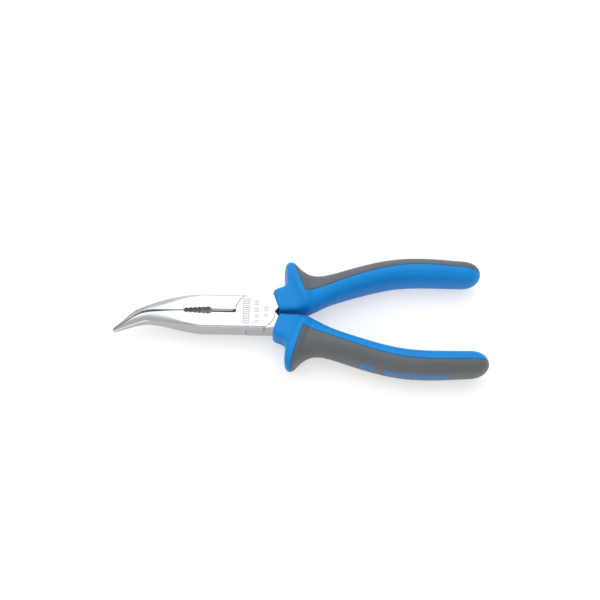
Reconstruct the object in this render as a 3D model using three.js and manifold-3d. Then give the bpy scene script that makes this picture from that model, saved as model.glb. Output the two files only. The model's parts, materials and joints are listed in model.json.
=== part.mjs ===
// Bent needle nose pliers with a side cutter, a pipe grip and two-shot handle grips.
//
// Millimetres. The pivot axis is Z. X runs from the jaws (-X) to the handles (+X), Y towards the
// upper handle, and z = 0 is the flat back face of the head, where the pivot axis leaves it.
//
// The two forged halves cross in a lap joint: each half keeps its full thickness outside a round
// seat, and half of it inside. Both handles are one moulding, turned over about X for the other side.

import * as THREE from 'three';
import { mergeVertices } from 'three/addons/utils/BufferGeometryUtils.js';
import Module from 'manifold-3d';

const wasm = await Module();
wasm.setup();

// Head and lap joint
const HEAD_WIDTH = 16;
const HEAD_THICKNESS = 9.5;
const MID_Z = HEAD_THICKNESS / 2;
const LAP_RADIUS = 8.8;
const LAP_GAP = 0.15;
const LAP_FACE_GAP = 0.1;
const LAP_SEGMENTS = 72;

// Jaws
const TAPER_START_X = -24;
const TIP_X = -64.2;
const TIP_THICKNESS = 3.2;
const CLOSED_GAP = 0.1;
const BEND_X = -50;
const BEND_GAP = 0.5;
const BEND_GAP_LENGTH = 6;

// Pipe grip: round scallops of growing radius along the parting line
const PIPE_GRIP_START_X = -31.1;
const PIPE_GRIP_PITCH = 1.96;
const PIPE_GRIP_LOBES = 6;
const PIPE_GRIP_FIRST_RADIUS = 1.15;
const PIPE_GRIP_LAST_RADIUS = 1.8;

// Side cutter: a V from both faces, with a relief hole at its joint end
const CUTTER_START_X = -20;
const CUTTER_END_X = -9.4;
const CUTTER_HALF_WIDTH = 0.85;
const CUTTER_LAND = 0.06;
const CUTTER_DEPTH = 4;
const RELIEF_RADIUS = 0.8;

// Pivot rivet, countersunk at both ends and ground flush
const RIVET_RADIUS = 3;
const RIVET_HEAD_RADIUS = 4.2;
const RIVET_HEAD_DEPTH = 1.6;
const RIVET_CLEARANCE = 0.06;
const RIVET_SEGMENTS = 48;

// Shanks and the tangs inside the grips, measured across the handle's centre line
const NECK_HALF_WIDTH = 3.3;
const NECK_LENGTH = 6;
const TANG_LENGTH = 78;
const TANG_END_HALF_WIDTH = 1.8;
const TANG_THICKNESS = 7;
const TANG_CLEARANCE = 0.15;

// Grips
const GRIP_STEPS = 46;
const GRIP_END_STEPS = 5;
const GRIP_SIDES = 28;
const SKIN_THICKNESS = 1.8;
const SKIN_GAP = 0.2;
const SKIN_START = 12.9;
const GUARD_LEAN = 0.08;

// The handle's centre line in plan, from the collar's front face to the rounded end.
const centreLine = new THREE.CubicBezierCurve(
  new THREE.Vector2(9.4, 5.25),
  new THREE.Vector2(68.9, 24.7),
  new THREE.Vector2(58.2, 24.4),
  new THREE.Vector2(105.5, 22.5),
);
const GRIP_LENGTH = centreLine.getLength();

// A smooth value along the handle, from pairs of distance and value.
function along(pairs) {
  const places = pairs.map((pair) => pair[0]);
  const values = pairs.map((pair) => pair[1]);
  const spline = new THREE.CubicInterpolant(places, values, 1);
  return (distance) => spline.evaluate(distance)[0];
}

// The grip's reach from the centre line: outwards (with the thumb guard), inwards and along Z.
const outerReach = along([
  [0, 4.6], [0.9, 5.8], [2.4, 6.3], [5, 6.4], [6.6, 7], [7.8, 8.8], [8.6, 12], [9.4, 15.5],
  [10.5, 17.8], [12.2, 18.6], [13.9, 17.6], [15, 15.2], [16.2, 12.8], [18.2, 10.1], [21.2, 7.9],
  [26, 6.5], [33, 6.1], [45, 6.2], [60, 6.1], [75, 6], [86, 5.7], [92, 5.3], [95.2, 4.5],
  [97.2, 3.3], [98.9, 1.2],
]);
const innerReach = along([
  [0, 4.2], [0.9, 5.1], [3.4, 5.8], [8.4, 7.2], [13.4, 8.2], [17.4, 7.8], [21.4, 7], [27, 6.3],
  [36, 6], [60, 6.1], [80, 6], [88, 5.8], [92, 5.5], [95.2, 4.8], [97.2, 3.6], [98.9, 1.4],
]);
const halfDepth = along([
  [0, 5.2], [0.9, 5.9], [3, 6], [7, 6.2], [9, 7.1], [11, 8.8], [12.7, 9.3], [14.4, 8.6],
  [16.5, 7.7], [20, 7.5], [28, 8.1], [40, 8.7], [60, 8.8], [78, 8.5], [88, 7.8], [92, 7.1],
  [95.2, 6.2], [97.2, 4.8], [98.9, 2.2],
]);
const sectionPower = along([[0, 5], [7, 5], [11, 2.6], [16, 2.4], [99, 2.4]]);
// How far the guard's lean applies: the guard stands a little further back on its +Z side.
const leanShare = along([[0, 0], [5, 0], [9, 1], [15, 1], [24, 0], [99, 0]]);
// Where the soft skin ends on the handle's flat sides, measured outwards from the centre line.
const skinEdge = along([[12, -0.9], [24, -0.7], [33, -0.3], [45, 0.1], [75, 0.3], [99, 0]]);

function toSolid(geometry) {
  const bare = geometry.clone();
  bare.deleteAttribute('normal');
  bare.deleteAttribute('uv');
  const merged = mergeVertices(bare, 1e-4);
  const vertProperties = new Float32Array(merged.attributes.position.array);
  const triVerts = new Uint32Array(merged.index.array);
  return new wasm.Manifold(new wasm.Mesh({ numProp: 3, vertProperties, triVerts }));
}

function toGeometry(solid) {
  const mesh = solid.getMesh();
  const geometry = new THREE.BufferGeometry();
  geometry.setAttribute('position', new THREE.BufferAttribute(mesh.vertProperties, 3));
  geometry.setIndex(new THREE.BufferAttribute(mesh.triVerts, 1));
  return geometry;
}

// An outline in plan, given its thickness between two heights.
function plate(points, bottom, top) {
  const shape = new THREE.Shape(points);
  const geometry = new THREE.ExtrudeGeometry(shape, { depth: top - bottom, bevelEnabled: false });
  geometry.translate(0, 0, bottom);
  return toSolid(geometry);
}

// A round piece about the pivot axis, or about another upright axis.
function turned(profile, segments, x = 0, y = 0) {
  const geometry = new THREE.LatheGeometry(profile, segments);
  geometry.rotateX(Math.PI / 2);
  geometry.translate(x, y, 0);
  return toSolid(geometry);
}

function upright(radius, bottom, top, segments, x = 0, y = 0) {
  const profile = [
    new THREE.Vector2(0, bottom),
    new THREE.Vector2(radius, bottom),
    new THREE.Vector2(radius, top),
    new THREE.Vector2(0, top),
  ];
  return turned(profile, segments, x, y);
}

function arc(radius, fromDegrees, toDegrees, steps) {
  const curve = new THREE.EllipseCurve(
    0, 0, radius, radius,
    THREE.MathUtils.degToRad(fromDegrees), THREE.MathUtils.degToRad(toDegrees),
    toDegrees < fromDegrees,
  );
  return curve.getPoints(steps);
}

// A closed skin over rings of matching points, with a flat cap at each end.
function loft(rings, capOutlines) {
  const size = rings[0].length;
  const positions = rings.flat().flatMap((point) => [point.x, point.y, point.z]);
  const index = [];
  for (let row = 0; row + 1 < rings.length; row += 1) {
    for (let i = 0; i < size; i += 1) {
      const a = row * size + i;
      const b = row * size + (i + 1) % size;
      index.push(a, b, b + size, a, b + size, a + size);
    }
  }
  const last = (rings.length - 1) * size;
  for (const [a, b, c] of THREE.ShapeUtils.triangulateShape(capOutlines[0], [])) {
    index.push(c, b, a);
  }
  for (const [a, b, c] of THREE.ShapeUtils.triangulateShape(capOutlines[1], [])) {
    index.push(last + a, last + b, last + c);
  }
  const geometry = new THREE.BufferGeometry();
  geometry.setAttribute('position', new THREE.Float32BufferAttribute(positions, 3));
  geometry.setIndex(index);
  return geometry;
}

// --- The forged halves -------------------------------------------------------------------------
// A half is drawn as the front one: its jaw lies below the parting line and its shank above.

// Half of the gap between the closed jaws: fine everywhere, wider round the bend.
function halfGap(x) {
  const reach = (x - BEND_X) / BEND_GAP_LENGTH;
  return (CLOSED_GAP + BEND_GAP * Math.exp(-reach * reach)) / 2;
}

function jawOutline(outerPoints, partingPoints) {
  const outer = new THREE.SplineCurve(outerPoints).getPoints(26);
  const parting = new THREE.SplineCurve(partingPoints).getPoints(26).map((point) => (
    new THREE.Vector2(point.x, point.y - halfGap(point.x))
  ));
  return { outer, parting };
}

// A point beside the handle's centre line, which runs on straight beyond its ends.
function beside(distance, offset) {
  const u = THREE.MathUtils.clamp(distance / GRIP_LENGTH, 0, 1);
  const point = centreLine.getPointAt(u);
  const tangent = centreLine.getTangentAt(u);
  point.addScaledVector(tangent, distance - u * GRIP_LENGTH);
  return new THREE.Vector2(point.x - tangent.y * offset, point.y + tangent.x * offset);
}

function ribbon(from, to, halfWidth, steps) {
  const outer = [];
  const inner = [];
  for (let i = 0; i <= steps; i += 1) {
    const distance = from + (to - from) * i / steps;
    outer.push(beside(distance, halfWidth(distance)));
    inner.push(beside(distance, -halfWidth(distance)));
  }
  return [...inner, ...outer.reverse()];
}

// The part of a half that the grip hides; grown, it is the pocket in the grip's core.
function shank(grow) {
  const tangWidth = (distance) => {
    const share = Math.min(distance / TANG_LENGTH, 1);
    return NECK_HALF_WIDTH + (TANG_END_HALF_WIDTH - NECK_HALF_WIDTH) * share + grow;
  };
  const neckHeight = MID_Z + grow;
  const tangHeight = TANG_THICKNESS / 2 + grow;
  const neckPlan = ribbon(-5 * grow, NECK_LENGTH + grow, () => NECK_HALF_WIDTH + grow, 2);
  const neck = plate(neckPlan, MID_Z - neckHeight, MID_Z + neckHeight);
  const tangPlan = ribbon(1, TANG_LENGTH + grow, tangWidth, 16);
  const tang = plate(tangPlan, MID_Z - tangHeight, MID_Z + tangHeight);
  return neck.add(tang);
}

// The taper in side view, as a prism across the whole head.
function sideTaper() {
  const tipHalf = TIP_THICKNESS / 2;
  const profile = [
    new THREE.Vector2(TIP_X - 1, MID_Z - tipHalf),
    new THREE.Vector2(TAPER_START_X, 0),
    new THREE.Vector2(120, 0),
    new THREE.Vector2(120, HEAD_THICKNESS),
    new THREE.Vector2(TAPER_START_X, HEAD_THICKNESS),
    new THREE.Vector2(TIP_X - 1, MID_Z + tipHalf),
  ];
  const shape = new THREE.Shape(profile);
  const geometry = new THREE.ExtrudeGeometry(shape, { depth: 80, bevelEnabled: false });
  geometry.rotateX(Math.PI / 2);
  geometry.translate(0, 40, 0);
  return toSolid(geometry);
}

function cutterPrism() {
  const points = [
    new THREE.Vector2(-CUTTER_HALF_WIDTH, 1),
    new THREE.Vector2(-CUTTER_HALF_WIDTH, 0),
    new THREE.Vector2(-CUTTER_LAND, -CUTTER_DEPTH),
    new THREE.Vector2(CUTTER_LAND, -CUTTER_DEPTH),
    new THREE.Vector2(CUTTER_HALF_WIDTH, 0),
    new THREE.Vector2(CUTTER_HALF_WIDTH, 1),
  ];
  const length = CUTTER_END_X - CUTTER_START_X;
  const geometry = new THREE.ExtrudeGeometry(new THREE.Shape(points), { depth: length, bevelEnabled: false });
  geometry.rotateX(Math.PI / 2);
  geometry.rotateZ(Math.PI / 2);
  geometry.translate(CUTTER_START_X, 0, HEAD_THICKNESS);
  const front = toSolid(geometry);
  const back = toSolid(geometry.clone().rotateX(Math.PI).translate(0, 0, HEAD_THICKNESS));
  return front.add(back);
}

function rivetProfile(grow) {
  return [
    new THREE.Vector2(0, -grow),
    new THREE.Vector2(RIVET_HEAD_RADIUS + grow, -grow),
    new THREE.Vector2(RIVET_HEAD_RADIUS + grow, 0),
    new THREE.Vector2(RIVET_RADIUS + grow, RIVET_HEAD_DEPTH),
    new THREE.Vector2(RIVET_RADIUS + grow, HEAD_THICKNESS - RIVET_HEAD_DEPTH),
    new THREE.Vector2(RIVET_HEAD_RADIUS + grow, HEAD_THICKNESS),
    new THREE.Vector2(RIVET_HEAD_RADIUS + grow, HEAD_THICKNESS + grow),
    new THREE.Vector2(0, HEAD_THICKNESS + grow),
  ];
}

function half(outerPoints, partingPoints) {
  const halfWidth = HEAD_WIDTH / 2;
  const lapDegrees = THREE.MathUtils.radToDeg(Math.asin(halfWidth / LAP_RADIUS));
  const { outer, parting } = jawOutline(outerPoints, partingPoints);
  const outline = [
    ...outer,
    ...arc(LAP_RADIUS, -lapDegrees, 1, 14),
    beside(0, -NECK_HALF_WIDTH),
    beside(3, -NECK_HALF_WIDTH),
    beside(3, NECK_HALF_WIDTH),
    beside(0, NECK_HALF_WIDTH),
    new THREE.Vector2(7, halfWidth),
    ...arc(LAP_RADIUS, 180 - lapDegrees, 180, 14),
    ...parting,
  ];
  let solid = plate(outline, 0, HEAD_THICKNESS).add(shank(0)).intersect(sideTaper());
  const otherLap = upright(LAP_RADIUS + LAP_GAP, -1, MID_Z + LAP_FACE_GAP / 2, LAP_SEGMENTS);
  solid = solid.subtract(otherLap);
  for (let i = 0; i < PIPE_GRIP_LOBES; i += 1) {
    const growth = (PIPE_GRIP_LAST_RADIUS - PIPE_GRIP_FIRST_RADIUS) * i / (PIPE_GRIP_LOBES - 1);
    const radius = PIPE_GRIP_FIRST_RADIUS + growth;
    const x = PIPE_GRIP_START_X + i * PIPE_GRIP_PITCH;
    solid = solid.subtract(upright(radius, -1, HEAD_THICKNESS + 1, 20, x));
  }
  solid = solid.subtract(upright(RELIEF_RADIUS, -1, HEAD_THICKNESS + 1, 16, CUTTER_END_X));
  solid = solid.subtract(cutterPrism());
  return solid.subtract(turned(rivetProfile(RIVET_CLEARANCE), RIVET_SEGMENTS));
}

// Turns a piece over about the X axis through the middle of the head.
function turnedOver(geometry) {
  return geometry.clone().rotateX(Math.PI).translate(0, 0, HEAD_THICKNESS);
}

const lowerJawOuter = [
  [TIP_X + 1.2, -9.7], [-60, -8.6], [-56.4, -7.2], [-52, -5.7], [-48, -5], [-43, -5.3],
  [-37, -6.3], [-31, -7.3], [-24, -8],
].map(([x, y]) => new THREE.Vector2(x, y));
const jawParting = [
  [-8.8, 0], [-26, 0], [-44, 0], [-47.5, -0.1], [-51, -0.7], [-54, -2.1], [-57, -4.1],
  [-60, -6.3], [TIP_X + 0.4, -8.9],
].map(([x, y]) => new THREE.Vector2(x, y));
const upperJawOuter = [
  [TIP_X, -8.1], [-60.5, -4.6], [-57, -1.1], [-54, 1.5], [-51, 3.3], [-47, 4.8],
  [-42, 5.9], [-36, 7], [-30, 7.7], [-24, 8],
].map(([x, y]) => new THREE.Vector2(x, y));
const mirrored = (points) => points.map((point) => new THREE.Vector2(point.x, -point.y));

// --- The grips ---------------------------------------------------------------------------------

// A point on the grip's surface: angle 0 is outermost, 90 degrees faces +Z. Inset goes inwards.
function gripPoint(distance, angle, inset) {
  const power = 2 / sectionPower(distance);
  const across = Math.cos(angle);
  const reach = across >= 0 ? outerReach(distance) : innerReach(distance);
  const offset = Math.sign(across) * Math.abs(across) ** power * (reach - inset);
  const height = Math.sign(Math.sin(angle)) * Math.abs(Math.sin(angle)) ** power * (halfDepth(distance) - inset);
  const place = beside(distance + GUARD_LEAN * leanShare(distance) * height, offset);
  return new THREE.Vector3(place.x, place.y, MID_Z + height);
}

// The angle at which the grip's surface stands a given way out from the centre line.
function angleAt(distance, offset) {
  const reach = offset >= 0 ? outerReach(distance) : innerReach(distance);
  const across = Math.sign(offset) * (Math.abs(offset) / reach) ** (sectionPower(distance) / 2);
  return Math.acos(across);
}

function skinDepth(distance) {
  return Math.min(SKIN_THICKNESS, 0.35 * innerReach(distance));
}

// Distances along the handle: fine round the guard and the rounded end, wide between.
function gripStations(from) {
  const body = [0, 0.45, 0.9, 2.4, 5, 6.6, 7.8, 8.6, 9.4, 10.5, 11.7, SKIN_START, 13.9, 15, 16.2, 18.2, 21.5];
  const bodyEnd = 88;
  for (let i = 1; i <= 12; i += 1) {
    body.push(21.5 + (bodyEnd - 21.5) * i / 12);
  }
  for (let i = 1; i <= GRIP_END_STEPS; i += 1) {
    const share = Math.sin(Math.PI / 2 * i / GRIP_END_STEPS);
    body.push(bodyEnd + (GRIP_LENGTH - bodyEnd) * share);
  }
  return body.filter((distance) => distance >= from);
}

function arcAngles(from, to, count) {
  return Array.from({ length: count }, (_, i) => from + (to - from) * i / (count - 1));
}

const flat = (ring) => ring.map((point) => new THREE.Vector2(point.y, point.z));

// The hard core: the collar and guard in full, then cut back on its outer side for the soft skin.
function gripCore() {
  const ringAt = (distance, cut) => {
    const edge = angleAt(distance, skinEdge(distance) - (cut ? SKIN_GAP : 0));
    const depth = cut ? skinDepth(distance) + SKIN_GAP : 0;
    const shown = arcAngles(edge, 2 * Math.PI - edge, GRIP_SIDES / 2);
    const covered = arcAngles(-edge, edge, GRIP_SIDES / 2);
    return [
      ...shown.map((angle) => gripPoint(distance, angle, 0)),
      ...covered.map((angle) => gripPoint(distance, angle, Math.max(depth, 0.01))),
    ];
  };
  const rings = gripStations(0).map((distance) => ringAt(distance, distance > SKIN_START));
  const step = gripStations(0).indexOf(SKIN_START);
  rings.splice(step + 1, 0, ringAt(SKIN_START + 0.05, true));
  return loft(rings, [flat(rings[0]), flat(rings.at(-1))]);
}

function gripSkin() {
  const ringAt = (distance) => {
    const edge = angleAt(distance, skinEdge(distance));
    const outside = arcAngles(-edge, edge, GRIP_SIDES / 2);
    const inside = arcAngles(edge, -edge, GRIP_SIDES / 2);
    return [
      ...outside.map((angle) => gripPoint(distance, angle, 0)),
      ...inside.map((angle) => gripPoint(distance, angle, skinDepth(distance))),
    ];
  };
  const stations = gripStations(SKIN_START + SKIN_GAP);
  const rings = [SKIN_START + SKIN_GAP, ...stations].map(ringAt);
  return loft(rings, [flat(rings[0]), flat(rings.at(-1))]);
}

// --- The assembly ------------------------------------------------------------------------------

const chromedSteel = new THREE.MeshStandardMaterial({ color: '#c9ccce', metalness: 1, roughness: 0.25 });
const bareSteel = new THREE.MeshStandardMaterial({ color: '#b4b7b9', metalness: 1, roughness: 0.4 });
const bluePlastic = new THREE.MeshStandardMaterial({ color: '#1280d8', metalness: 0, roughness: 0.4 });
const greyRubber = new THREE.MeshStandardMaterial({ color: '#6a6e73', metalness: 0, roughness: 0.7 });

const pliers = new THREE.Group();

function addPiece(name, geometry, material) {
  const mesh = new THREE.Mesh(geometry, material);
  mesh.name = name;
  pliers.add(mesh);
}

const core = toGeometry(toSolid(gripCore()).subtract(shank(TANG_CLEARANCE)));
const skin = gripSkin();

addPiece('front_half', toGeometry(half(lowerJawOuter, jawParting)), chromedSteel);
addPiece(
  'rear_half',
  turnedOver(toGeometry(half(mirrored(upperJawOuter), mirrored(jawParting)))),
  chromedSteel,
);
addPiece('pivot_rivet', toGeometry(turned(rivetProfile(0), RIVET_SEGMENTS)), bareSteel);
addPiece('upper_grip_core', core, bluePlastic);
addPiece('upper_grip_skin', skin, greyRubber);
addPiece('lower_grip_core', turnedOver(core), bluePlastic);
addPiece('lower_grip_skin', turnedOver(skin), greyRubber);

export default pliers;
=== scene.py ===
import json
import math

import bpy
import numpy as np
from mathutils import Matrix, Vector


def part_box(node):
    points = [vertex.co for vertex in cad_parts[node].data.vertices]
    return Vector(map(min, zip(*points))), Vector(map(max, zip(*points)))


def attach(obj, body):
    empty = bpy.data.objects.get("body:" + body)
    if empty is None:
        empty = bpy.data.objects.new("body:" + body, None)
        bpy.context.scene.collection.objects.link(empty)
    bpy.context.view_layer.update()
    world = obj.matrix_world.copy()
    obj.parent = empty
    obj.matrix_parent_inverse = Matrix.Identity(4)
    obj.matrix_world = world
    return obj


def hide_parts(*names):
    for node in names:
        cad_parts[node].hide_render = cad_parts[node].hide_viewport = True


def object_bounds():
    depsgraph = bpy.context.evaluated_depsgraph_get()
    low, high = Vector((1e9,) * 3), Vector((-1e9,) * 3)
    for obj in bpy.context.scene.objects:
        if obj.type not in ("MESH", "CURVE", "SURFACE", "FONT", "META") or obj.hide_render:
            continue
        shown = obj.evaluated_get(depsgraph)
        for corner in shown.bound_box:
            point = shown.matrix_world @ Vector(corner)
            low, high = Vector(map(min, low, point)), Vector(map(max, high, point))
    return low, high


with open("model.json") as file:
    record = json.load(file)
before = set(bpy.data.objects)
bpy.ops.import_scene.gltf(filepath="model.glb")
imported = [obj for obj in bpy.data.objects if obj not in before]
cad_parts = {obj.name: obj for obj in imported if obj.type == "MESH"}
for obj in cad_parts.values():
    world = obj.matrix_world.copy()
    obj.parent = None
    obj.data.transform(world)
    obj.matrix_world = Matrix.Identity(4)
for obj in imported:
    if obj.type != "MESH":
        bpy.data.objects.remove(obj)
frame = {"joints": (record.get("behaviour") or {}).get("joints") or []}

cad_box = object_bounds()
MM = 0.001

# --- Camera ----------------------------------------------------------------------------------
# A 52 mm lens at 400 mm, high over the near side of the pliers, so that the flat front of the
# head faces it and the near flank of the lower jaw just shows.

PIVOT = Vector(frame["joints"][0]["pos_m"])
CAMERA_LENS = 52.48
SENSOR_WIDTH = 36
CAMERA_DISTANCE = 400 * MM
CAMERA_TILT = math.radians(26.16)
CAMERA_YAW = math.radians(-2.12)
CAMERA_ROLL = math.radians(1.1)
AIMED_AT = PIVOT + Vector((20.26, 6.34, 3.94)) * MM

camera_data = bpy.data.cameras.new("camera")
camera_data.lens = CAMERA_LENS
camera_data.sensor_width = SENSOR_WIDTH
camera = bpy.data.objects.new("camera", camera_data)
turn = (
    Matrix.Rotation(CAMERA_TILT, 4, "X")
    @ Matrix.Rotation(CAMERA_YAW, 4, "Y")
    @ Matrix.Rotation(CAMERA_ROLL, 4, "Z")
)
drawn_back = Matrix.Translation((0, 0, CAMERA_DISTANCE))
camera.matrix_world = Matrix.Translation(AIMED_AT) @ turn @ drawn_back
bpy.context.scene.collection.objects.link(camera)
bpy.context.scene.camera = camera

# --- Floor and light -------------------------------------------------------------------------
# A light table of white opal acrylic that the grips lie on, large softboxes overhead and at the
# left, weaker ones at the back and front, and an even white surround for the steel to mirror.


def to_linear(code):
    """An sRGB hex colour as linear red, green, blue and alpha."""
    parts = [int(code[i:i + 2], 16) / 255 for i in (1, 3, 5)]
    return [c / 12.92 if c <= 0.04045 else ((c + 0.055) / 1.055) ** 2.4 for c in parts] + [1.0]


def add_node(tree, kind, inputs, **settings):
    """One shader node with its settings. An input is a plain value or the socket that feeds it."""
    node = tree.nodes.new(kind)
    for name, value in settings.items():
        setattr(node, name, value)
    for name, value in inputs.items():
        if isinstance(value, bpy.types.NodeSocket):
            tree.links.new(value, node.inputs[name])
        else:
            node.inputs[name].default_value = value
    return node


def new_material(name):
    """An empty node material, its tree and its output node."""
    material = bpy.data.materials.new(name)
    material.use_nodes = True
    tree = material.node_tree
    tree.nodes.clear()
    output = tree.nodes.new("ShaderNodeOutputMaterial")
    return material, tree, output


def new_piece(name, vertices, faces):
    """An object in the scene with a mesh of its own, from vertices in metres and faces."""
    mesh = bpy.data.meshes.new(name)
    mesh.from_pydata(vertices, [], faces)
    mesh.update()
    piece = bpy.data.objects.new(name, mesh)
    bpy.context.scene.collection.objects.link(piece)
    return piece


FLOOR_SIZE = 8.0
FLOOR_Z = cad_box[0][2]
FLOOR_GLOW = 0.5
SURROUND_GLOW = 0.9

# Opal acrylic, lit from below: an even soft white that still takes a faint shadow.
opal_acrylic, tree, output = new_material("lit_opal_acrylic")
surface = add_node(tree, "ShaderNodeBsdfPrincipled", {
    "Base Color": to_linear("#b4b4b4"), "Roughness": 0.85,
    "Emission Color": to_linear("#ffffff"), "Emission Strength": FLOOR_GLOW,
})
tree.links.new(surface.outputs["BSDF"], output.inputs["Surface"])

reach = FLOOR_SIZE / 2
corners = [(-reach, -reach), (reach, -reach), (reach, reach), (-reach, reach)]
floor = new_piece("floor", [(x, y, FLOOR_Z) for x, y in corners], [(0, 1, 2, 3)])
floor.data.materials.append(opal_acrylic)


def add_softbox(name, place, size, power):
    """A square area light at a place in metres, turned to face the pivot, with watts of power."""
    data = bpy.data.lights.new(name, "AREA")
    data.shape = "SQUARE"
    data.size = size
    data.energy = power
    light = bpy.data.objects.new(name, data)
    light.location = place
    light.rotation_euler = (PIVOT - Vector(place)).to_track_quat("-Z", "Y").to_euler()
    bpy.context.scene.collection.objects.link(light)


add_softbox("overhead_softbox", (0.14, 0.34, 0.88), 0.84, 3.7)
add_softbox("left_softbox", (-0.75, 0.35, 0.8), 0.9, 3.8)
add_softbox("back_softbox", (0, 0.9, 0.35), 0.8, 1.4)
add_softbox("front_softbox", (0, -0.8, 0.5), 0.6, 1.2)

surround = bpy.data.worlds.new("white_surround")
surround.use_nodes = True
background = surround.node_tree.nodes["Background"]
background.inputs["Color"].default_value = to_linear("#ffffff")
background.inputs["Strength"].default_value = SURROUND_GLOW
bpy.context.scene.world = surround
bpy.context.scene.view_settings.view_transform = "Standard"

# --- Forged halves ---------------------------------------------------------------------------
# Each half is one forging of tool steel: a bent jaw, half of the lap joint and a shank whose tang
# lies in the grip. It is milled, ground flat, polished and plated with bright chrome.

HEAD_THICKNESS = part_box("pivot_rivet")[1][2] / MM
MID_Z = HEAD_THICKNESS / 2
HEAD_HALF_WIDTH = 8.0
LAP_RADIUS = 8.8
LAP_GAP = 0.25
LAP_FACE_GAP = 0.08
TIP_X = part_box("rear_half")[0][0] / MM
TAPER_START_X = -24
TIP_HALF_THICKNESS = 1.6
RIVET_RADIUS = 3.0
# An X past the grips' ends, a Y past their sides, and heights that clear both faces of the head.
BEYOND = 120
FAR_SIDE = 40
THROUGH = (-1, 11)


def smooth(pairs):
    """A smooth curve through pairs of place and value, which never overshoots them."""
    x = np.array([pair[0] for pair in pairs], float)
    y = np.array([pair[1] for pair in pairs], float)
    step = np.diff(x)
    slope = np.diff(y) / step
    tangent = np.concatenate([[slope[0]], np.zeros(len(x) - 2), [slope[-1]]])
    for i in range(1, len(x) - 1):
        if slope[i - 1] * slope[i] > 0:
            before = 2 * step[i] + step[i - 1]
            after = step[i] + 2 * step[i - 1]
            tangent[i] = (before + after) / (before / slope[i - 1] + after / slope[i])

    def value(at):
        at = np.clip(at, x[0], x[-1])
        i = np.clip(np.searchsorted(x, at, side="right") - 1, 0, len(x) - 2)
        t = (at - x[i]) / step[i]
        ends = (1 + 2 * t) * (1 - t) ** 2 * y[i] + t * t * (3 - 2 * t) * y[i + 1]
        return ends + t * (1 - t) * step[i] * ((1 - t) * tangent[i] - t * tangent[i + 1])

    return value


# Where the jaws part, and their outer edges, as Y over X.
parting = smooth([
    (TIP_X + 0.4, -8.9), (-60, -6.3), (-57, -4.1), (-54, -2.1), (-51, -0.7), (-47.5, -0.1), (-44, 0),
    (0, 0),
])
lower_edge = smooth([
    (TIP_X + 1.2, -9.7), (-60, -8.6), (-56.4, -7.2), (-52, -5.7), (-48, -5), (-43, -5.3), (-37, -6.3),
    (-31, -7.3), (TAPER_START_X, -8), (BEYOND, -8),
])
upper_edge = smooth([
    (TIP_X, -8.1), (-60.5, -4.6), (-57, -1.1), (-54, 1.5), (-51, 3.3), (-47, 4.8), (-42, 5.9), (-36, 7),
    (-30, 7.7), (TAPER_START_X, 8), (BEYOND, 8),
])
# The outer corners are rounded off more towards the nose: how wide and how deep, and the jaws'
# half thickness, which tapers to the tip.
corner_width = smooth([
    (-66, 5), (-57, 5.4), (-48, 4.6), (-40, 3.4), (-33, 2), (TAPER_START_X, 1.1), (BEYOND, 1),
])
corner_drop = smooth([
    (-66, 1.5), (-56, 1.8), (-46, 1.8), (-38, 1.5), (-30, 0.9), (TAPER_START_X, 0.5), (BEYOND, 0.45),
])
half_thickness = smooth([
    (TIP_X - 1, TIP_HALF_THICKNESS), (TAPER_START_X, MID_Z), (BEYOND, MID_Z),
])

# The handle's centre line in plan: a Bezier curve from the collar's face to the rounded end.
LINE_CONTROLS = np.array([(9.4, 5.25), (68.9, 24.7), (58.2, 24.4), (105.5, 22.5)])


def bezier(t):
    """Points in plan at shares t of the way along the centre line."""
    t = np.asarray(t, float)[..., None]
    weights = [(1 - t) ** 3, 3 * t * (1 - t) ** 2, 3 * t * t * (1 - t), t ** 3]
    return sum(weight * point for weight, point in zip(weights, LINE_CONTROLS))


line_steps = np.linspace(0, 1, 2001)
line_points = bezier(line_steps)
line_pieces = np.linalg.norm(np.diff(line_points, axis=0), axis=1)
line_lengths = np.concatenate([[0], np.cumsum(line_pieces)])
GRIP_LENGTH = line_lengths[-1]


def beside(distance, offset):
    """Points at distances along the handle's centre line and offsets beside it, in plan."""
    distance = np.asarray(distance, float)
    inside = np.clip(distance, 0, GRIP_LENGTH)
    t = np.interp(inside, line_lengths, line_steps)
    ahead = bezier(np.minimum(t + 1e-4, 1)) - bezier(np.maximum(t - 1e-4, 0))
    ahead = ahead / np.linalg.norm(ahead, axis=-1, keepdims=True)
    across = np.stack([-ahead[..., 1], ahead[..., 0]], axis=-1)
    beyond = (distance - inside)[..., None]
    return bezier(t) + ahead * beyond + across * np.asarray(offset, float)[..., None]


def loft(name, rings, closed=False):
    """A closed mesh over rings of matching points in mm: capped at its ends, or joined up."""
    size, count = len(rings[0]), len(rings)
    vertices = [Vector(point) * MM for ring in rings for point in ring]
    faces = []
    for row in range(count if closed else count - 1):
        this, after = row * size, (row + 1) % count * size
        for i in range(size):
            following = (i + 1) % size
            faces.append((this + i, this + following, after + following, after + i))
    if not closed:
        faces.append(tuple(reversed(range(size))))
        faces.append(tuple(range((count - 1) * size, count * size)))
    return new_piece(name, vertices, faces)


def plate(name, outline, bottom, top):
    """A flat plate of one outline between two heights."""
    return loft(name, [[(x, y, height) for x, y in outline] for height in (bottom, top)])


def turned(name, profile, segments=96, x=0.0):
    """A round solid about an upright axis at x, from pairs of radius and height."""
    angles = [2 * math.pi * i / segments for i in range(segments)]
    circle = [(math.cos(a), math.sin(a)) for a in angles]
    return loft(name, [[(x + r * dx, r * dy, z) for dx, dy in circle] for r, z in profile])


def drill(name, radius, segments, x=0.0):
    """The cutter for a round hole right through the head."""
    return turned(name, [(radius, height) for height in THROUGH], segments, x)


def settle(piece):
    """Makes a piece's modifiers part of its mesh."""
    depsgraph = bpy.context.evaluated_depsgraph_get()
    mesh = bpy.data.meshes.new_from_object(piece.evaluated_get(depsgraph))
    piece.modifiers.clear()
    piece.data = mesh


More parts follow.
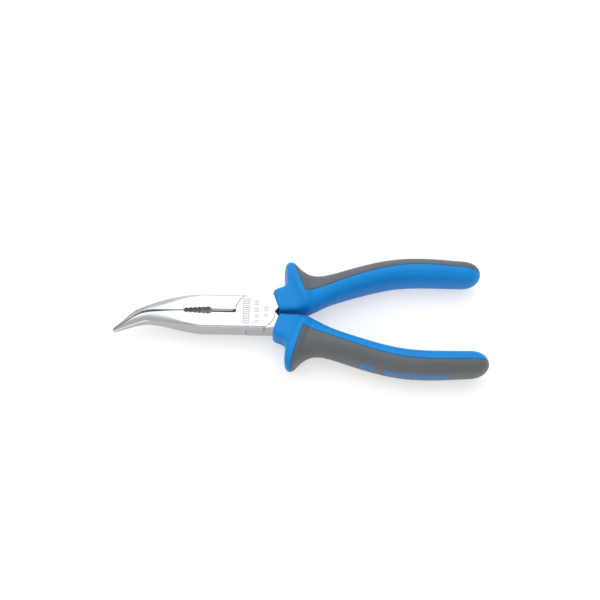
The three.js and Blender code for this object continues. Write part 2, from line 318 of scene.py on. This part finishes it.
def carve(piece, tool, how="DIFFERENCE"):
    """Cuts, joins or keeps the shared part with a tool, which is used up."""
    modifier = piece.modifiers.new("carve", "BOOLEAN")
    modifier.operation = how
    modifier.solver = "EXACT"
    modifier.object = tool
    settle(piece)
    bpy.data.objects.remove(tool)


def arc(radius, start, end, steps):
    """Points in plan along an arc about the pivot, between two angles in degrees."""
    angles = np.radians(np.linspace(start, end, steps))
    return [(radius * math.cos(a), radius * math.sin(a)) for a in angles]


NECK_HALF_WIDTH = 3.3
NECK_LENGTH = 6
TANG_LENGTH = 78
TANG_END_HALF_WIDTH = 1.8
TANG_HALF_THICKNESS = 3.5


def shank(grow):
    """The shank and tang that the grip hides. Grown a little, it is the pocket in the grip."""

    def ribbon(start, end, steps):
        places = np.linspace(start, end, steps)
        taper = np.clip(places / TANG_LENGTH, 0, 1)
        widths = NECK_HALF_WIDTH + (TANG_END_HALF_WIDTH - NECK_HALF_WIDTH) * taper + grow
        return [*beside(places, -widths), *beside(places, widths)[::-1]]

    deep = MID_Z + grow
    piece = plate("shank", ribbon(-5 * grow, NECK_LENGTH + grow, 5), MID_Z - deep, MID_Z + deep)
    deep = TANG_HALF_THICKNESS + grow
    tang = plate("tang", ribbon(1, TANG_LENGTH + grow, 40), MID_Z - deep, MID_Z + deep)
    carve(piece, tang, "UNION")
    return piece


CLOSED_GAP = 0.42
BEND_X = -48
BEND_GAP = 0.75
BEND_GAP_LENGTH = 8
TOOTH_PITCH = 0.8
TOOTH_DEPTH = 0.22
TOOTH_REACH = 0.72
TOOTH_CLEARANCE = 0.03
TEETH_START_X = -33.0
TEETH_END_X = TIP_X + 2


def gripping_y(part_line, x):
    """Where the jaw's inner face lies: just short of the parting line, with a gap at the bend."""
    gap = CLOSED_GAP + BEND_GAP * math.exp(-((x - BEND_X) / BEND_GAP_LENGTH) ** 2)
    return part_line(x) - gap / 2


def teeth(part_line):
    """The cutter for the fine cross teeth, which stop short of the jaw's front and back faces."""
    rings = []
    count = 2 * round((TEETH_START_X - TEETH_END_X) / TOOTH_PITCH)
    for i, x in enumerate(np.linspace(TEETH_START_X, TEETH_END_X, count + 1)):
        root = gripping_y(part_line, x) + (TOOTH_CLEARANCE if i % 2 == 0 else -TOOTH_DEPTH)
        deep = TOOTH_REACH * half_thickness(x)
        section = [(root, -deep), (root + 3, -deep), (root + 3, deep), (root, deep)]
        rings.append([(x, y, MID_Z + z) for y, z in section])
    return loft("teeth", rings)


def outer_form(edge):
    """The half's tapered and rounded outside, as a bar with its outer flank along the edge."""
    rings = []
    for x in [*np.linspace(TIP_X - 1, TAPER_START_X, 90), BEYOND]:
        deep, flank = half_thickness(x), edge(x)
        wide, drop = corner_width(x), min(corner_drop(x), 0.95 * deep)
        corners = np.radians(np.linspace(90, 180, 21))
        upper = [(flank + wide + wide * math.cos(a), deep - drop + drop * math.sin(a)) for a in corners]
        lower = [(y, -z) for y, z in reversed(upper)]
        section = [(FAR_SIDE, -deep), (FAR_SIDE, deep), *upper, *lower]
        rings.append([(x, y, MID_Z + z) for y, z in section])
    return loft("outer_form", rings)


PIPE_GRIP_START_X = -31.1
PIPE_GRIP_PITCH = 1.96
PIPE_GRIP_RADII = np.linspace(1.15, 1.8, 6)
CUTTER_START_X = -20
CUTTER_END_X = -9.4
CUTTER_HALF_WIDTH = 0.85
CUTTER_LAND = 0.06
CUTTER_DEPTH = 1.3
RELIEF_RADIUS = 0.8
RIVET_CLEARANCE = 0.01
GROUND_AND_SHADE_DEPTH = 2.2
EDGE_BREAK = 0.24
BROKEN_EDGE_ANGLE = 32
FLAT_EDGE_ANGLE = 14


def break_edges(piece):
    """Rounds off a machined piece's sharp edges a little."""
    bevel = piece.modifiers.new("edge_break", "BEVEL")
    bevel.width = EDGE_BREAK * MM
    bevel.segments = 2
    bevel.limit_method = "ANGLE"
    bevel.angle_limit = math.radians(BROKEN_EDGE_ANGLE)
    settle(piece)


def shade_smooth(piece, crisp_angle):
    """Shades a piece smooth, and leaves edges that turn by more than an angle crisp."""
    for polygon in piece.data.polygons:
        polygon.use_smooth = True
    piece.data.set_sharp_from_angle(angle=math.radians(crisp_angle))


def forged_half(name, edge, part_line):
    """A half as the front one lies: its jaw below the parting line and its shank above.

    The faces inside the jaw are unplated and drawn darker, partly for their ground finish and partly as
    painted shade in the gap and the pipe grip, and the rest is plated.
    """
    lap_angle = math.degrees(math.asin(HEAD_HALF_WIDTH / LAP_RADIUS))
    shoulder_x = LAP_RADIUS * math.cos(math.radians(lap_angle))
    clear = 4
    outline = [
        (TIP_X + 1.2, edge(TIP_X + 1.2)), (TIP_X + 2, edge(TIP_X + 2) - clear),
        (TAPER_START_X, -HEAD_HALF_WIDTH - clear), (shoulder_x, -HEAD_HALF_WIDTH - clear),
        *arc(LAP_RADIUS, -lap_angle, 1, 40),
        *beside([0, 3], [-NECK_HALF_WIDTH, -NECK_HALF_WIDTH]),
        *beside([3, 0], [NECK_HALF_WIDTH, NECK_HALF_WIDTH]), (7, HEAD_HALF_WIDTH),
        *arc(LAP_RADIUS, 180 - lap_angle, 180, 30),
        (-LAP_RADIUS, -CLOSED_GAP / 2),
        *[(x, gripping_y(part_line, x)) for x in np.linspace(TEETH_START_X, TIP_X + 0.4, 50)],
    ]
    piece = plate(name, outline, 0, HEAD_THICKNESS)
    carve(piece, shank(0), "UNION")
    carve(piece, outer_form(edge), "INTERSECT")
    seat = MID_Z + LAP_FACE_GAP / 2
    carve(piece, turned("seat", [(LAP_RADIUS + LAP_GAP, -1), (LAP_RADIUS + LAP_GAP, seat)], 128))
    carve(piece, drill("rivet_hole", RIVET_RADIUS + RIVET_CLEARANCE, 96))
    carve(piece, drill("relief", RELIEF_RADIUS, 32, CUTTER_END_X))
    for i, radius in enumerate(PIPE_GRIP_RADII):
        carve(piece, drill("scallop", radius, 48, PIPE_GRIP_START_X + i * PIPE_GRIP_PITCH))
    bevels = [
        (-CUTTER_HALF_WIDTH, HEAD_THICKNESS), (-CUTTER_LAND, HEAD_THICKNESS - CUTTER_DEPTH),
        (-CUTTER_LAND, CUTTER_DEPTH), (-CUTTER_HALF_WIDTH, 0), (-CUTTER_HALF_WIDTH, -1), (2, -1),
        (2, HEAD_THICKNESS + 1), (-CUTTER_HALF_WIDTH, HEAD_THICKNESS + 1),
    ]
    ends = (CUTTER_START_X, CUTTER_END_X)
    carve(piece, loft("cutter", [[(x, y, z) for y, z in bevels] for x in ends]))
    break_edges(piece)
    carve(piece, teeth(part_line))
    shade_smooth(piece, FLAT_EDGE_ANGLE)
    piece.data.materials.clear()
    piece.data.materials.append(bright_chrome)
    piece.data.materials.append(ground_steel_and_painted_shade)
    for polygon in piece.data.polygons:
        x, y, _ = polygon.center / MM
        normal = polygon.normal
        # Faces inside the jaw get the darker ground steel: partly its finish, partly painted shade in
        # the gap and the pipe grip's hollows.
        in_jaw = x < CUTTER_START_X - 0.5 and y > part_line(x) - GROUND_AND_SHADE_DEPTH
        polygon.material_index = int(in_jaw and abs(normal.z) < 0.85 and normal.y > -0.2)
    return piece


def turn_over(piece):
    """Turns a piece over about X through the middle of the head, in its own mesh."""
    lift = Matrix.Translation((0, 0, HEAD_THICKNESS * MM))
    piece.data.transform(lift @ Matrix.Rotation(math.pi, 4, "X"))


# Bright chrome over polished steel: a clean pale mirror, softened by the polishing lines that
# run along the tool, about 0.06 mm apart, and by a faint cloudiness some millimetres across.
bright_chrome, tree, output = new_material("bright_chrome_plate")
place = add_node(tree, "ShaderNodeTexCoord", {}).outputs["Object"]
stretched = add_node(tree, "ShaderNodeMapping", {
    "Vector": place, "Scale": (0.08, 1, 1),
}).outputs["Vector"]
lines = add_node(tree, "ShaderNodeTexNoise", {
    "Vector": stretched, "Scale": 1 / (0.12 * MM), "Detail": 2, "Roughness": 0.6,
}).outputs["Fac"]
cloud = add_node(tree, "ShaderNodeTexNoise", {
    "Vector": place, "Scale": 1 / (6 * MM), "Detail": 3,
}).outputs["Fac"]
roughness = add_node(tree, "ShaderNodeMapRange", {
    "Value": cloud, "From Min": 0.3, "From Max": 0.7, "To Min": 0.17, "To Max": 0.25,
}).outputs["Result"]
relief = add_node(tree, "ShaderNodeBump", {"Height": lines, "Strength": 0.06, "Distance": 0.01 * MM})
surface = add_node(tree, "ShaderNodeBsdfPrincipled", {
    "Base Color": to_linear("#adafb1"), "Metallic": 1.0, "Roughness": roughness,
    "Normal": relief.outputs["Normal"],
})
tree.links.new(surface.outputs["BSDF"], output.inputs["Surface"])

# Inside the jaws the steel is ground and left unplated: a dull, darker grey with fine marks across,
# drawn about 0.15 mm apart. The darker grey is partly that finish and partly painted shade, for the
# shade that falls in the gap between the jaws and in the pipe grip's hollows.
ground_steel_and_painted_shade, tree, output = new_material("ground_unplated_steel_and_painted_shade")
place = add_node(tree, "ShaderNodeTexCoord", {}).outputs["Object"]
stretched = add_node(tree, "ShaderNodeMapping", {
    "Vector": place, "Scale": (1, 0.1, 0.1),
}).outputs["Vector"]
marks = add_node(tree, "ShaderNodeTexNoise", {
    "Vector": stretched, "Scale": 1 / (0.3 * MM), "Detail": 2,
}).outputs["Fac"]
tone = add_node(tree, "ShaderNodeValToRGB", {"Fac": marks})
tone.color_ramp.elements[0].position = 0.3
tone.color_ramp.elements[0].color = to_linear("#76787a")
tone.color_ramp.elements[1].position = 0.7
tone.color_ramp.elements[1].color = to_linear("#a6a8aa")
relief = add_node(tree, "ShaderNodeBump", {"Height": marks, "Strength": 0.15, "Distance": 0.02 * MM})
surface = add_node(tree, "ShaderNodeBsdfPrincipled", {
    "Base Color": tone.outputs["Color"], "Metallic": 1.0, "Roughness": 0.38,
    "Normal": relief.outputs["Normal"],
})
tree.links.new(surface.outputs["BSDF"], output.inputs["Surface"])

front_half = forged_half("front_half_forging", lower_edge, parting)
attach(front_half, "front_lever")
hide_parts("front_half")

rear_half = forged_half("rear_half_forging", lambda x: -upper_edge(x), lambda x: -parting(x))
turn_over(rear_half)
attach(rear_half, "rear_lever")
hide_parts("rear_half")

# --- Pivot rivet -----------------------------------------------------------------------------
# A steel rivet through the lap joint, fixed in the front half. It is ground level with both faces
# of the head and plated with them, so that hardly more than a hairline shows.

RIVET_CHAMFER = 0.03

rivet = turned("pivot_rivet_body", [
    (RIVET_RADIUS - RIVET_CHAMFER, 0), (RIVET_RADIUS, RIVET_CHAMFER),
    (RIVET_RADIUS, HEAD_THICKNESS - RIVET_CHAMFER), (RIVET_RADIUS - RIVET_CHAMFER, HEAD_THICKNESS),
])
rivet.data.materials.append(bright_chrome)
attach(rivet, "front_lever")
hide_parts("pivot_rivet")

# --- Etched marks ----------------------------------------------------------------------------
# Three plain columns of bars across the front of the head, etched by acid through a stencil.
# The real etch is microns deep, and it is drawn a hair proud of the steel so that it shows.

# Etched chrome: the acid leaves it matt, so it looks duller and slightly darker than the plate.
etched_chrome, tree, output = new_material("acid_etched_chrome")
place = add_node(tree, "ShaderNodeTexCoord", {}).outputs["Object"]
grain = add_node(tree, "ShaderNodeTexNoise", {
    "Vector": place, "Scale": 1 / (0.1 * MM), "Detail": 2,
}).outputs["Fac"]
tone = add_node(tree, "ShaderNodeValToRGB", {"Fac": grain})
tone.color_ramp.elements[0].color = to_linear("#8a8c8e")
tone.color_ramp.elements[1].color = to_linear("#a8aaac")
surface = add_node(tree, "ShaderNodeBsdfPrincipled", {
    "Base Color": tone.outputs["Color"], "Metallic": 1.0, "Roughness": 0.55,
})
tree.links.new(surface.outputs["BSDF"], output.inputs["Surface"])

# Each column: its middle X, its bars' length along X and thickness along Y, and their middles.
# The first column is a ladder between two long side lines.
ETCH_HEIGHT = 0.012
ETCH_COLUMNS = [
    (-4.1, 2.3, 0.42, np.linspace(-5.9, 5.9, 12)),
    (-5.4, 0.3, 12.2, [0]),
    (-2.8, 0.3, 12.2, [0]),
    (0.6, 2.1, 0.4, [-5.6, -4.7, -3.0, -2.1, -0.3, 0.6, 1.5, 3.3, 4.2, 5.1]),
    (5.0, 2.1, 0.4, [-2.4, -1.5, 0.2, 1.1, 2.0]),
]
vertices, faces = [], []
for middle_x, length, thickness, rows in ETCH_COLUMNS:
    for middle_y in rows:
        across, along = length / 2, thickness / 2
        corners = [(-across, -along), (across, -along), (across, along), (-across, along)]
        start = len(vertices)
        for height in (HEAD_THICKNESS - ETCH_HEIGHT, HEAD_THICKNESS + ETCH_HEIGHT):
            vertices += [Vector((middle_x + dx, middle_y + dy, height)) * MM for dx, dy in corners]
        for i in range(4):
            after = (i + 1) % 4
            faces.append((start + i, start + after, start + 4 + after, start + 4 + i))
        faces.append((start + 3, start + 2, start + 1, start))
        faces.append((start + 4, start + 5, start + 6, start + 7))
etched_marks = new_piece("etched_marks", vertices, faces)
etched_marks.data.materials.append(etched_chrome)
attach(etched_marks, "front_lever")

# --- Hard grip cores -------------------------------------------------------------------------
# Each handle has a sleeve of hard blue polypropylene, moulded over the tang: a squared collar, a
# thumb guard all round and a palm-shaped body. Both handles use one moulding, turned over.

SKIN_START = 12.9
SKIN_THICKNESS = 1.8
SKIN_GAP = 0.06
GUARD_LEAN = 0.08
END_ROUNDING = 9
END_POWER = 2.3
TANG_CLEARANCE = 0.1
EDGE_SKEW = 0.4
MOULDED_EDGE_ANGLE = 50

# The grip's section over distance along the handle: how far it reaches outward, inward and up,
# how square it is, how far the guard leans, and where the skin's edge runs.
outer_reach = smooth([
    (0, 4.6), (0.9, 5.8), (2.4, 6.3), (5, 6.4), (6.6, 7), (7.8, 8.8), (8.6, 12), (9.4, 15.4),
    (10.5, 17.7), (12.2, 18.5), (13.9, 17.5), (15, 15.2), (16.2, 12.8), (18.2, 10.1), (21.2, 7.9),
    (26, 6.5), (33, 6.1), (45, 6.1), (60, 6), (75, 5.9), (88, 5.65), (99, 5.6),
])
inner_reach = smooth([
    (0, 4.2), (0.9, 5.1), (3.4, 5.8), (8.4, 7.2), (13.4, 8.2), (17.4, 7.8), (21.4, 7), (27, 6.3),
    (36, 6), (60, 6.1), (80, 6), (99, 5.8),
])
half_depth = smooth([
    (0, 5.2), (0.9, 5.9), (3, 6), (7, 6.2), (9, 7.1), (11, 8.8), (12.7, 9.25), (14.4, 8.6),
    (16.5, 7.7), (20, 7.5), (28, 8.1), (40, 8.7), (60, 8.8), (78, 8.5), (88, 7.9), (99, 7.5),
])
section_power = smooth([(0, 5), (7, 5), (11, 2.6), (16, 2.4), (99, 2.4)])
lean_share = smooth([(0, 0), (5, 0), (9, 1), (15, 1), (24, 0), (99, 0)])
skin_edge = smooth([(12, -0.9), (24, -0.7), (33, -0.3), (45, 0.1), (75, 0.3), (99, 0)])
turns = np.linspace(0, 2 * math.pi, 1441)


def section(distance):
    """The grip's outline across the handle, its outward normals and its length so far."""
    rounding = min(max((distance - GRIP_LENGTH + END_ROUNDING) / END_ROUNDING, 0), 1)
    shrink = math.sqrt(1 - rounding ** END_POWER)
    power = 2 / section_power(distance)
    out, up = np.cos(turns), np.sin(turns)
    reach = np.where(out >= 0, outer_reach(distance), inner_reach(distance)) * shrink
    points = np.stack([
        np.sign(out) * np.abs(out) ** power * reach,
        np.sign(up) * np.abs(up) ** power * half_depth(distance) * shrink,
    ], axis=1)
    steps = np.diff(points, axis=0)
    lengths = np.concatenate([[0], np.cumsum(np.linalg.norm(steps, axis=1))])
    ahead = np.roll(points[:-1], -1, axis=0) - np.roll(points[:-1], 1, axis=0)
    ahead = np.vstack([ahead, ahead[:1]])
    ahead /= np.maximum(np.linalg.norm(ahead, axis=1, keepdims=True), 1e-9)
    normals = np.stack([ahead[:, 1], -ahead[:, 0]], axis=1)
    return points, normals, lengths


def on_grip(distance, outline, around, inset):
    """Points in mm at lengths around a section from its outermost point, sunk in by an inset."""
    points, normals, lengths = outline
    around = np.mod(around, lengths[-1])
    flat = np.stack([np.interp(around, lengths, points[:, i]) for i in (0, 1)], axis=1)
    normal = np.stack([np.interp(around, lengths, normals[:, i]) for i in (0, 1)], axis=1)
    normal /= np.maximum(np.linalg.norm(normal, axis=1, keepdims=True), 1e-9)
    flat = flat - normal * np.asarray(inset, float).reshape(-1, 1)
    plan = beside(distance + GUARD_LEAN * lean_share(distance) * flat[:, 1], flat[:, 0])
    return [(x, y, MID_Z + height) for (x, y), height in zip(plan, flat[:, 1])]


def skin_limits(distance, outline):
    """Where the soft skin ends on the two flat sides, as lengths around the section."""
    points, _, lengths = outline
    middle = len(turns) // 2
    shift = min(1, max(0, (GRIP_LENGTH - distance) / END_ROUNDING))
    above = skin_edge(distance) * shift + EDGE_SKEW * shift
    below = skin_edge(distance) * shift - EDGE_SKEW * shift
    first = np.interp(-above, -points[:middle + 1, 0], lengths[:middle + 1])
    second = np.interp(below, points[middle:, 0], lengths[middle:])
    return first, second


# The rounded lip where blue meets grey: places in from its edge, and how far each is sunk.
LIP_PLACES = np.array([0, 0.05, 0.14, 0.32])
LIP_INSETS = np.array([0.28, 0.12, 0.03, 0])
SKIN_LIP = 1.5


def skin_depth(distance):
    """The skin's thickness, which thins out to almost nothing at the handle's end."""
    return min(SKIN_THICKNESS, 0.35 * (GRIP_LENGTH + 0.5 - distance) + 0.1)


def core_ring(distance, shown=70, covered=50):
    """One ring of the hard core: its shown surface, then the seat under the soft skin."""
    outline = section(distance)
    first, second = skin_limits(distance, outline)
    begin = float(np.interp(distance, [SKIN_START - LIP_PLACES[-1], SKIN_START], [0, 1]))
    sunk = float(np.interp(SKIN_START - distance, LIP_PLACES, LIP_INSETS)) if begin else 0.0
    seat = skin_depth(distance) + SKIN_GAP if distance >= SKIN_START + 0.01 else sunk
    start, end = first + SKIN_GAP, second - SKIN_GAP
    scale = min(1, (end - start) / 2)
    lips = LIP_PLACES * scale
    between = np.linspace(start + 0.5 * scale, end - 0.5 * scale, shown)
    around = np.concatenate([start + lips, between, end - lips[::-1]])
    sinks = np.concatenate([LIP_INSETS, np.zeros(shown), LIP_INSETS[::-1]]) * scale * begin
    under = np.linspace(end, start + outline[2][-1], covered)
    surface_points = on_grip(distance, outline, around, sinks)
    return surface_points + on_grip(distance, outline, under, np.full(covered, seat))


def skin_ring(distance, shown=90, hidden=50):
    """One ring of the soft skin: its outer surface, then back along its inner face."""
    outline = section(distance)
    first, second = skin_limits(distance, outline)
    perimeter = outline[2][-1]
    past_edge = distance - SKIN_START - SKIN_GAP
    sunk = float(np.interp(past_edge, LIP_PLACES * SKIN_LIP, LIP_INSETS * SKIN_LIP))
    start, end = second - perimeter, first
    scale = min(1, (end - start) / 2)
    lips = LIP_PLACES * SKIN_LIP * scale
    between = np.linspace(start + 0.7 * scale, end - 0.7 * scale, shown)
    around = np.concatenate([start + lips, between, end - lips[::-1]])
    sinks = np.concatenate([LIP_INSETS, np.zeros(shown), LIP_INSETS[::-1]]) * SKIN_LIP * scale
    under = np.linspace(end, start, hidden)
    depth = np.full(hidden, skin_depth(distance))
    surface_points = on_grip(distance, outline, around, np.maximum(sinks, sunk))
    return surface_points + on_grip(distance, outline, under, depth)


def stations(start):
    """Distances along the handle for rings: close at the collar's face, the guard and the end."""
    face = [0, 0.06, 0.15, 0.3, 0.5, 0.75, 1.05, 1.5, 2, 2.6, 3.2, 3.8, 4.4]
    guard = np.arange(5, 22, 0.33)
    body = np.linspace(22, GRIP_LENGTH - END_ROUNDING, 76)
    end = GRIP_LENGTH - END_ROUNDING + END_ROUNDING * np.sin(np.linspace(0.05, 1.53, 26))
    lip = [*(SKIN_START - LIP_PLACES), SKIN_START + 0.01]
    return sorted({round(float(s), 4) for s in [*face, *guard, *body, *end, *lip] if s >= start})


# Moulded polypropylene: a saturated satin blue with the fine spark-eroded grain of its mould,
# about 0.15 mm from peak to peak, which spreads each highlight into a soft pale band.
moulded_polypropylene, tree, output = new_material("moulded_blue_polypropylene")
place = add_node(tree, "ShaderNodeTexCoord", {}).outputs["Object"]
grain = add_node(tree, "ShaderNodeTexNoise", {
    "Vector": place, "Scale": 1 / (0.3 * MM), "Detail": 3,
}).outputs["Fac"]
flow = add_node(tree, "ShaderNodeTexNoise", {
    "Vector": place, "Scale": 1 / (12 * MM), "Detail": 2,
}).outputs["Fac"]
tone = add_node(tree, "ShaderNodeValToRGB", {"Fac": flow})
tone.color_ramp.elements[0].position = 0.3
tone.color_ramp.elements[0].color = to_linear("#0071b5")
tone.color_ramp.elements[1].position = 0.7
tone.color_ramp.elements[1].color = to_linear("#0076bc")
roughness = add_node(tree, "ShaderNodeMapRange", {
    "Value": grain, "From Min": 0.3, "From Max": 0.7, "To Min": 0.36, "To Max": 0.46,
}).outputs["Result"]
relief = add_node(tree, "ShaderNodeBump", {"Height": grain, "Strength": 0.12, "Distance": 0.02 * MM})
surface = add_node(tree, "ShaderNodeBsdfPrincipled", {
    "Base Color": tone.outputs["Color"], "Roughness": roughness, "IOR": 1.49,
    "Specular IOR Level": 0.17, "Normal": relief.outputs["Normal"],
})
tree.links.new(surface.outputs["BSDF"], output.inputs["Surface"])


def grip_core(name):
    """The blue moulding of the upper grip, hollowed for the tang with a fine clearance."""
    piece = loft(name, [core_ring(s) for s in stations(0)])
    carve(piece, shank(TANG_CLEARANCE))
    shade_smooth(piece, MOULDED_EDGE_ANGLE)
    piece.data.materials.clear()
    piece.data.materials.append(moulded_polypropylene)
    return piece


def turned_copy(name, piece):
    """The other handle's piece: a copy of this one's, turned over."""
    copy = bpy.data.objects.new(name, piece.data.copy())
    bpy.context.scene.collection.objects.link(copy)
    turn_over(copy)
    return copy


upper_core = grip_core("upper_grip_moulding")
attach(upper_core, "front_lever")
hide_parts("upper_grip_core")

lower_core = turned_copy("lower_grip_moulding", upper_core)
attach(lower_core, "rear_lever")
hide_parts("lower_grip_core")

# --- Soft grip skins -------------------------------------------------------------------------
# The second shot of each grip: a skin of soft grey thermoplastic elastomer over the outer side,
# from the crest of the guard to the rounded end, keyed into its seat in the blue core.

# Soft elastomer: a dark matt grey with a fine grain, and a faint bloom where it turns away.
soft_elastomer, tree, output = new_material("soft_grey_elastomer")
place = add_node(tree, "ShaderNodeTexCoord", {}).outputs["Object"]
grain = add_node(tree, "ShaderNodeTexNoise", {
    "Vector": place, "Scale": 1 / (0.25 * MM), "Detail": 4,
}).outputs["Fac"]
flow = add_node(tree, "ShaderNodeTexNoise", {
    "Vector": place, "Scale": 1 / (9 * MM), "Detail": 2,
}).outputs["Fac"]
tone = add_node(tree, "ShaderNodeValToRGB", {"Fac": flow})
tone.color_ramp.elements[0].position = 0.3
tone.color_ramp.elements[0].color = to_linear("#343b41")
tone.color_ramp.elements[1].position = 0.7
tone.color_ramp.elements[1].color = to_linear("#394046")
roughness = add_node(tree, "ShaderNodeMapRange", {
    "Value": grain, "From Min": 0.3, "From Max": 0.7, "To Min": 0.58, "To Max": 0.7,
}).outputs["Result"]
relief = add_node(tree, "ShaderNodeBump", {"Height": grain, "Strength": 0.25, "Distance": 0.03 * MM})
surface = add_node(tree, "ShaderNodeBsdfPrincipled", {
    "Base Color": tone.outputs["Color"], "Roughness": roughness, "IOR": 1.5,
    "Specular IOR Level": 0.95, "Sheen Weight": 0.15, "Sheen Roughness": 0.5,
    "Normal": relief.outputs["Normal"],
})
tree.links.new(surface.outputs["BSDF"], output.inputs["Surface"])

first_rings = [SKIN_START + SKIN_GAP + lip for lip in LIP_PLACES * SKIN_LIP]
skin_stations = first_rings + stations(first_rings[-1] + 0.05)
upper_skin = loft("upper_grip_overmould", [skin_ring(s) for s in skin_stations])
shade_smooth(upper_skin, MOULDED_EDGE_ANGLE)
upper_skin.data.materials.append(soft_elastomer)
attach(upper_skin, "front_lever")
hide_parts("upper_grip_skin")

lower_skin = turned_copy("lower_grip_overmould", upper_skin)
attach(lower_skin, "rear_lever")
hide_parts("lower_grip_skin")

# --- Grip marks ------------------------------------------------------------------------------
# A plain ring and a row of plain slim bars on the outer side of each grip, where the core was
# moulded up through windows in the grey skin, a hair proud of it.

MARK_RISE = 0.06
MARK_SINK = 0.5
MARK_WALL = MARK_RISE - 0.04
MARK_MIDDLE = -0.8
BAR_COUNT = 14
BAR_LENGTH = 1.25
BAR_HEIGHT = 4.6
BAR_LEAN = 0.3
BAR_CORNER = 0.35
BARS_START = 52.5
BARS_END = 80
RING_OUTSIDE = 2.6
RING_INSIDE = 1.2
RING_PLACE = 44.5
RING_EDGE = 0.06


def bar_outline(length, height, radius, steps=4):
    """A leaning bar with rounded corners about its middle, as pairs of along and around."""
    points = []
    for quarter, (sx, sy) in enumerate([(1, 1), (-1, 1), (-1, -1), (1, -1)]):
        for i in range(steps + 1):
            angle = math.radians(90 * quarter + 90 * i / steps)
            around = sy * (height / 2 - radius) + radius * math.sin(angle)
            along = sx * (length / 2 - radius) + radius * math.cos(angle) + BAR_LEAN * around
            points.append((along, around))
    return points


def mark_ring(middle, outline, rise):
    """One closed loop of a mark, laid over the grip's surface and raised or sunk."""
    ring = []
    for along, around in outline:
        distance = middle + along
        ring += on_grip(distance, section(distance), np.array([MARK_MIDDLE + around]), [-rise])
    return ring


def scaled(outline, scale):
    """An outline made larger or smaller about its middle."""
    return [(along * scale, around * scale) for along, around in outline]


def bar_mark(middle):
    """A plain raised bar: its wall, its rounded edge and its top."""
    outline = bar_outline(BAR_LENGTH, BAR_HEIGHT, BAR_CORNER)
    levels = [
        (1, -MARK_SINK), (1, MARK_WALL), (0.94, MARK_RISE), (0.6, MARK_RISE), (0.2, MARK_RISE),
    ]
    return loft("bar", [mark_ring(middle, scaled(outline, s), rise) for s, rise in levels])


def ring_mark(middle):
    """A plain raised ring: its outer wall, its top and its inner wall."""
    circle = [(math.cos(a), math.sin(a)) for a in np.linspace(0, 2 * math.pi, 33)[:-1]]
    levels = [
        (RING_OUTSIDE, -MARK_SINK), (RING_OUTSIDE, MARK_WALL), (RING_OUTSIDE - RING_EDGE, MARK_RISE),
        (RING_INSIDE + 0.5, MARK_RISE), (RING_INSIDE + RING_EDGE, MARK_RISE),
        (RING_INSIDE, MARK_WALL), (RING_INSIDE, -MARK_SINK),
    ]
    rings = [mark_ring(middle, scaled(circle, s), rise) for s, rise in levels]
    return loft("ring", rings, closed=True)


def join(name, parts):
    """Joins parts of one moulding into one piece."""
    vertices, faces = [], []
    for part in parts:
        start = len(vertices)
        vertices += [vertex.co.copy() for vertex in part.data.vertices]
        faces += [tuple(start + i for i in polygon.vertices) for polygon in part.data.polygons]
        bpy.data.objects.remove(part)
    return new_piece(name, vertices, faces)


mark_parts = [ring_mark(RING_PLACE)]
for middle in np.linspace(BARS_START + BAR_LENGTH / 2, BARS_END - BAR_LENGTH / 2, BAR_COUNT):
    mark_parts.append(bar_mark(float(middle)))
upper_marks = join("upper_grip_marks", mark_parts)
shade_smooth(upper_marks, MOULDED_EDGE_ANGLE)
upper_marks.data.materials.append(moulded_polypropylene)
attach(upper_marks, "front_lever")

lower_marks = turned_copy("lower_grip_marks", upper_marks)
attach(lower_marks, "rear_lever")
